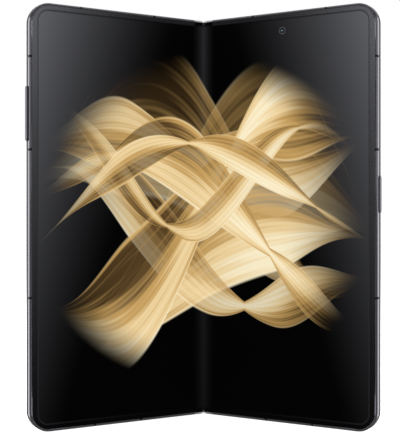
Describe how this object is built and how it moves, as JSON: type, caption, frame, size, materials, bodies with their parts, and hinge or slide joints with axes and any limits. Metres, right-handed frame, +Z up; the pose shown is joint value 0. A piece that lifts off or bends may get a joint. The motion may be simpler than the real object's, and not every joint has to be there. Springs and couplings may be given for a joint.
{
  "type": "foldable smartphone",
  "caption": "Book-style folding phone with an inner screen across both halves, a geared double hinge, a cover screen and a raised camera island.",
  "frame": {"origin": "middle of the box on the surface that the half-open phone stands on", "axes": "+Z up along the fold, -Y towards the viewer of the inner screen, +X towards the right half"},
  "size_m": [0.1299, 0.0396, 0.1567],
  "materials": {
    "frame_metal": "dark anodised, polished",
    "spine_metal": "dark anodised, brushed",
    "cap_metal": "satin",
    "hinge_steel": "satin",
    "gear_brass": "plain",
    "bezel": "black, satin",
    "screen": "lit screen under thin glass",
    "seal": "black, matt",
    "antenna": "black, satin",
    "back_glass": "frosted dark glass",
    "island_metal": "dark, fine blasted",
    "lens_glass": "coated clear glass",
    "camera_black": "black, matt",
    "flash_lens": "ribbed lens",
    "battery_foil": "foil pouch",
    "circuit_board": "green solder mask",
    "key_metal": "dark anodised, satin"
  },
  "bodies": {
    "spine": {"spine_cover": "spine_metal", "hinge_bracket_top": "hinge_steel", "hinge_bracket_bottom": "hinge_steel", "fold_rail": "hinge_steel", "hinge_shafts": "hinge_steel", "idler_pins": "hinge_steel", "inner_display_fold": "screen", "fold_seals": "seal"},
    "idler_right": {"idler_gears_right": "gear_brass"},
    "idler_left": {"idler_gears_left": "gear_brass"},
    "right_half": {"right_frame": "frame_metal", "right_bezel": "bezel", "right_hinge_caps": "cap_metal", "right_arms": "hinge_steel", "right_wing_pins": "hinge_steel", "inner_display_right": "screen", "inner_camera": "camera_black", "rear_cover": "back_glass", "camera_island": "island_metal", "lens_covers": "lens_glass", "camera_main": "camera_black", "camera_wide": "camera_black", "camera_tele": "camera_black", "flash_led": "flash_lens", "right_battery": "battery_foil", "main_board": "circuit_board", "shield_cans": "hinge_steel", "usb_port": "hinge_steel", "lower_board": "circuit_board", "bottom_speaker": "camera_black", "haptic_motor": "hinge_steel", "power_switch": "hinge_steel", "right_antenna_bands": "antenna", "right_screws": "hinge_steel"},
    "left_half": {"left_frame": "frame_metal", "left_bezel": "bezel", "left_hinge_caps": "cap_metal", "left_arms": "hinge_steel", "left_wing_pins": "hinge_steel", "inner_display_left": "screen", "cover_glass": "back_glass", "cover_display": "screen", "cover_camera": "camera_black", "left_battery": "battery_foil", "sub_board": "circuit_board", "top_speaker": "camera_black", "card_reader": "hinge_steel", "volume_switch": "hinge_steel", "volume_pin": "hinge_steel", "left_antenna_bands": "antenna", "left_screws": "hinge_steel"},
    "right_wing": {"right_wing_plate": "hinge_steel"},
    "left_wing": {"left_wing_plate": "hinge_steel"},
    "power_key_body": {"power_key": "key_metal"},
    "volume_rocker_body": {"volume_rocker": "key_metal"},
    "card_tray_body": {"card_tray": "key_metal"}
  },
  "joints": [
    {"name": "right_fold", "type": "hinge", "parent": "spine", "child": "right_half", "pos_m": [0.0014, 0.01682, 0], "axis": [0, 0, -1], "range_deg": [-29.5, 60.5], "deforming": ["inner_display_fold"]},
    {"name": "left_fold", "type": "hinge", "parent": "spine", "child": "left_half", "pos_m": [-0.0014, 0.01682, 0], "axis": [0, 0, 1], "range_deg": [-29.5, 60.5]},
    {"name": "right_idler", "type": "hinge", "parent": "spine", "child": "idler_right", "pos_m": [0.0007, 0.01804, 0], "axis": [0, 0, 1], "range_deg": [-29.5, 60.5]},
    {"name": "left_idler", "type": "hinge", "parent": "spine", "child": "idler_left", "pos_m": [-0.0007, 0.01804, 0], "axis": [0, 0, -1], "range_deg": [-29.5, 60.5]},
    {"name": "right_wing_tilt", "type": "hinge", "parent": "right_half", "child": "right_wing", "pos_m": [0.00874, 0.01273, 0], "axis": [0, 0, -1], "range_deg": [-2.07, 4.24]},
    {"name": "left_wing_tilt", "type": "hinge", "parent": "left_half", "child": "left_wing", "pos_m": [-0.00874, 0.01273, 0], "axis": [0, 0, 1], "range_deg": [-2.07, 4.24]},
    {"name": "power_press", "type": "slide", "parent": "right_half", "child": "power_key_body", "axis": [-0.8704, 0.4924, 0], "range_m": [0, 0.00025], "stiffness_N_per_m": 2000, "springref_m": -0.0002},
    {"name": "volume_rock", "type": "hinge", "parent": "left_half", "child": "volume_rocker_body", "pos_m": [-0.06127, -0.01555, 0.1161], "axis": [-0.4924, 0.8704, 0], "range_deg": [-1.5, 1.5], "stiffness_Nm_per_rad": 0.4},
    {"name": "card_tray_slide", "type": "slide", "parent": "left_half", "child": "card_tray_body", "axis": [0, 0, 1], "range_m": [0, 0.016]}
  ],
  "couplings": [
    {"joint": "left_fold", "follows": "right_fold", "ratio": 1},
    {"joint": "right_idler", "follows": "right_fold", "ratio": 1},
    {"joint": "left_idler", "follows": "right_fold", "ratio": 1},
    {"joint": "right_wing_tilt", "follows": "right_fold", "ratio": 0.07},
    {"joint": "left_wing_tilt", "follows": "right_fold", "ratio": 0.07}
  ]
}
